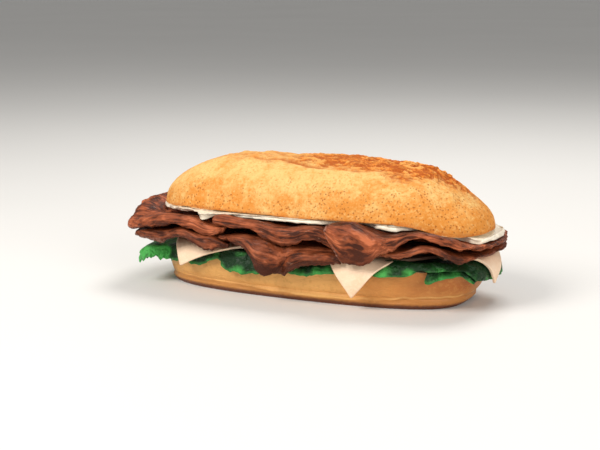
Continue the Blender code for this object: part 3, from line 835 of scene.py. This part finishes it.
class MakeSteak(bpy.types.Operator):
    """Make the folded slices of roast steak, with fibres that follow each slice"""

    bl_idname = "sandwich.make_steak"
    bl_label = "Roast Steak"

    def pale_edge(self, node, points, share, front):
        """Where the edge is pale: the left lower slice's end, and the side of the flap on the right slice."""
        x, _, z = points.T
        if node == "steak_left_lower":
            return front * (1 - smooth_step(share, 0.1, 0.4)) * (1 - smooth_step(x, -74 * MM, -64 * MM))
        if node == "steak_right_upper":
            first, _ = span(z[front], x[front], z, 14)
            return front * (1 - smooth_step(x - first, 0.6 * MM, 2.0 * MM))
        return np.zeros(len(points))

    def make_slice(self, node, seed, settings, material):
        piece = refined(node)
        points = points_of(piece)
        x, y, z = points.T
        front = y < 0.6 * y.min()
        back = y > 0.6 * y.max()
        low, high = span(x[front], z[front], x)
        low_back, high_back = span(x[back], z[back], x)
        low = np.where(back, low_back, low)
        high = np.where(back, high_back, high)
        share = (z - low) / np.maximum(high - low, MM)
        thick = np.median(high - low)
        fibre = np.column_stack([x, y, share * thick])
        flow = fibre * (0.10, 0.45, 1.0)
        strands = rough(flow, 1.3 * MM, seed) * 0.8 + rough(flow, 3.0 * MM, seed + 9) * 1.1
        fissure = np.minimum(0, np.abs(rough(fibre * (0.08, 0.3, 1), 4 * MM, seed + 4)) - 0.12)
        relief = strands * settings.fibre_depth + fissure * 5 * settings.fibre_depth
        relief += rough(points, 5 * MM, seed + 2) * 0.25 * MM
        moved = points + normals_of(piece) * relief[:, None]
        outer = np.where(front | back, 1.0, 0.0)
        edge = outer * (1 - smooth_step(share, 0.0, 0.5))
        torn = rough(points * (1, 0.3, 0), 3.2 * MM, seed + 6)
        torn += 0.5 * rough(points * (1, 0.3, 0), 1.2 * MM, seed + 1)
        moved[:, 2] += edge * torn * settings.ragged_edge
        move_to(piece, moved)
        keep(piece, "fibre", fibre + seed * 10 * MM)
        # Share up each slice's edge, where the material paints shade under and over it
        keep(piece, "lip", np.where(front | back, share, 0.7))
        keep(piece, "pale", self.pale_edge(node, points, share, front))
        shade = INNER_SHADE if node == INNER else UNDER_SHADE if node in UNDER else 0.0
        keep(piece, "shade", np.full(len(points), shade))
        dress(piece, node, material)

    def execute(self, context):
        settings = context.scene.sandwich_filling
        material = roast_steak(settings)
        for index, node in enumerate(STEAK):
            self.make_slice(node, 3.7 * index, settings, material)
        return {"FINISHED"}


class MakeCheese(bpy.types.Operator):
    """Make the soft slices of cheese whose corners hang down"""

    bl_idname = "sandwich.make_cheese"
    bl_label = "Cheese"

    def execute(self, context):
        settings = context.scene.sandwich_filling
        material = white_cheese(settings)
        for node in CHEESE:
            piece = refined(node, crease=0.5)
            points = points_of(piece)
            x, y, z = points.T
            # Where the cheese lies deep under a slice's arch, which the material darkens as painted shade
            deep = smooth_step(x, 50 * MM, 56 * MM) * smooth_step(x, 84 * MM, 80 * MM)
            deep *= smooth_step(y, -34 * MM, -29 * MM) * smooth_step(z, 23 * MM, 24 * MM)
            move_to(piece, points + stirred(points, 12 * MM, 2.0) * 0.25 * MM)
            keep(piece, "deep", deep)
            dress(piece, node, material)
        return {"FINISHED"}


class MakeLettuce(bpy.types.Operator):
    """Make the ruffled leaves of lettuce"""

    bl_idname = "sandwich.make_lettuce"
    bl_label = "Lettuce"

    def execute(self, context):
        settings = context.scene.sandwich_filling
        material = lettuce_leaf(settings)
        for index, node in enumerate(LETTUCE):
            piece = refined(node)
            points = points_of(piece)
            x, y, z = points.T
            hanging = smooth_step(21 * MM - z, 0, 9 * MM)
            low, _ = span(x, z, x)
            edge = (1 - smooth_step(z - low, 0, 5 * MM)) * np.where(np.abs(y) > 12 * MM, 1.0, 0.3)
            moved = stirred(points, 4.5 * MM, index) * settings.ruffle_depth * 0.5
            moved += stirred(points, 2.2 * MM, index + 5) * settings.ruffle_depth * 0.3
            moved *= (0.35 + 0.65 * hanging)[:, None]
            outward = np.column_stack([x / ROLL_HALVES[0] ** 2, y / ROLL_HALVES[1] ** 2, 0 * z])
            outward /= np.linalg.norm(outward, axis=1)[:, None]
            free = smooth_step(-x, 64 * MM, 76 * MM)
            swing = (0.6 + 0.3 * free) * rough(points * (1, 1, 0.8), 5 * MM, index + 2)
            # Painted light where the leaf is pushed out and on the free left leaf, with some uneven tone from
            # swing
            proud_and_lit = np.clip(0.32 + 0.38 * free + swing, 0, 1)
            # Painted shade, darker higher up the leaf under the meat, and painted light on the free left leaf
            shaded = 0.5 * (1 - free) * smooth_step(z - low, 1 * MM, 6 * MM) - 0.25 * free
            moved += outward * (proud_and_lit * hanging * settings.ruffle_depth * 4)[:, None]
            frill = rough(points * (1, 1, 0), 2.8 * MM, index + 8) * (1 + 2.5 * free)
            moved[:, 2] += edge * hanging * frill * settings.ruffle_depth
            if node == "lettuce_right_upper":
                brow = smooth_step(-y, 25 * MM, 31 * MM) * smooth_step(z, 17 * MM, 22 * MM)
                moved[:, 2] += 2.2 * MM * brow * np.exp(-(((x - 62 * MM) / (13 * MM)) ** 2))
            move_to(piece, points + moved)
            keep(piece, "edge", edge)
            keep(piece, "proud_and_lit", proud_and_lit - shaded)
            dress(piece, node, material)
        return {"FINISHED"}


# Stage


class SetStage(bpy.types.Operator):
    """Add the pale floor, the soft lights and the camera"""

    bl_idname = "sandwich.set_stage"
    bl_label = "Stage"

    def add_floor(self, settings):
        bpy.ops.mesh.primitive_plane_add(size=FLOOR_SIZE, location=(0, 0, 0))
        floor = bpy.context.active_object
        floor.name = "floor"
        finish = Finish("floor", 0.6, Specular_IOR_Level=0.2)
        cloud = finish.noise(finish.place(), 400 * MM, 2.0)
        colour = finish.mix(cloud, settings.floor, tint(settings.floor, 0.97))
        floor.data.materials.append(finish.set(Base_Color=colour))

    def add_light(self, name, place, size, power, colour):
        bpy.ops.object.light_add(type="AREA", location=place)
        light = bpy.context.active_object
        light.name = name
        light.data.shape = "DISK"
        light.data.size = size
        light.data.energy = power
        light.data.color = colour
        aim = Vector((0, 0, 0.03)) - Vector(place)
        light.rotation_mode = "QUATERNION"
        light.rotation_quaternion = aim.to_track_quat("-Z", "Y")

    def add_camera(self, settings):
        low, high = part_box(HEEL)
        target = (low + high) / 2
        target.z = TARGET_HEIGHT
        turn, lift = settings.azimuth, settings.elevation
        back = Vector(
            (math.sin(turn) * math.cos(lift), -math.cos(turn) * math.cos(lift), math.sin(lift))
        )
        bpy.ops.object.camera_add(location=target + back * settings.distance)
        camera = bpy.context.active_object
        camera.rotation_mode = "QUATERNION"
        camera.rotation_quaternion = back.to_track_quat("Z", "Y")
        camera.data.sensor_width = 36
        camera.data.lens = settings.lens
        camera.data.shift_x = FRAME_SHIFT
        camera.data.clip_start = 0.01
        bpy.context.scene.camera = camera

    def execute(self, context):
        settings = context.scene.sandwich_stage
        self.add_floor(settings)
        power = settings.light
        self.add_light("key_light", (-0.45, -0.75, 0.75), 0.6, power, (1.0, 0.97, 0.93))
        self.add_light("fill_light", (0.85, -0.55, 0.40), 0.7, power * 0.5, (1.0, 0.95, 0.90))
        self.add_light("top_light", (0.05, 0.45, 0.85), 0.5, power * 0.5, (1.0, 0.98, 0.95))
        world = bpy.data.worlds.new("studio")
        world.use_nodes = True
        background = world.node_tree.nodes["Background"]
        background.inputs["Color"].default_value = (1.0, 0.99, 0.97, 1)
        background.inputs["Strength"].default_value = 0.33
        context.scene.world = world
        context.scene.view_settings.view_transform = "Standard"
        self.add_camera(settings)
        return {"FINISHED"}


class SandwichPanel(bpy.types.Panel):
    """Lists the sandwich's sizes, colours and steps"""

    bl_idname = "VIEW3D_PT_sandwich"
    bl_label = "Submarine Sandwich"
    bl_space_type = "VIEW_3D"
    bl_region_type = "UI"
    bl_category = "Sandwich"

    def draw(self, context):
        layout = self.layout
        scene = context.scene
        for title, settings, operators in (
            ("Roll", scene.sandwich_roll, (MakeHeel, MakeCrown)),
            ("Filling", scene.sandwich_filling, (MakeMayonnaise, MakeSteak, MakeCheese, MakeLettuce)),
            ("Stage", scene.sandwich_stage, (SetStage,)),
        ):
            box = layout.box()
            box.label(text=title)
            for name in settings.__annotations__:
                box.prop(settings, name)
            for operator in operators:
                box.operator(operator.bl_idname)


SETTINGS = {
    "sandwich_roll": RollSettings,
    "sandwich_filling": FillingSettings,
    "sandwich_stage": StageSettings,
}
OPERATORS = (MakeHeel, MakeCrown, MakeMayonnaise, MakeSteak, MakeCheese, MakeLettuce, SetStage)


def register():
    for group in SETTINGS.values():
        bpy.utils.register_class(group)
    for operator in OPERATORS:
        bpy.utils.register_class(operator)
    bpy.utils.register_class(SandwichPanel)
    for name, group in SETTINGS.items():
        setattr(bpy.types.Scene, name, bpy.props.PointerProperty(type=group))


def unregister():
    for name in SETTINGS:
        delattr(bpy.types.Scene, name)
    bpy.utils.unregister_class(SandwichPanel)
    for operator in reversed(OPERATORS):
        bpy.utils.unregister_class(operator)
    for group in reversed(list(SETTINGS.values())):
        bpy.utils.unregister_class(group)


def main():
    noise.seed_set(NOISE_SEED)
    register()
    bpy.ops.sandwich.make_heel()
    bpy.ops.sandwich.make_crown()
    bpy.ops.sandwich.make_mayonnaise()
    bpy.ops.sandwich.make_steak()
    bpy.ops.sandwich.make_cheese()
    bpy.ops.sandwich.make_lettuce()
    bpy.ops.sandwich.set_stage()


if __name__ == "__main__":
    main()
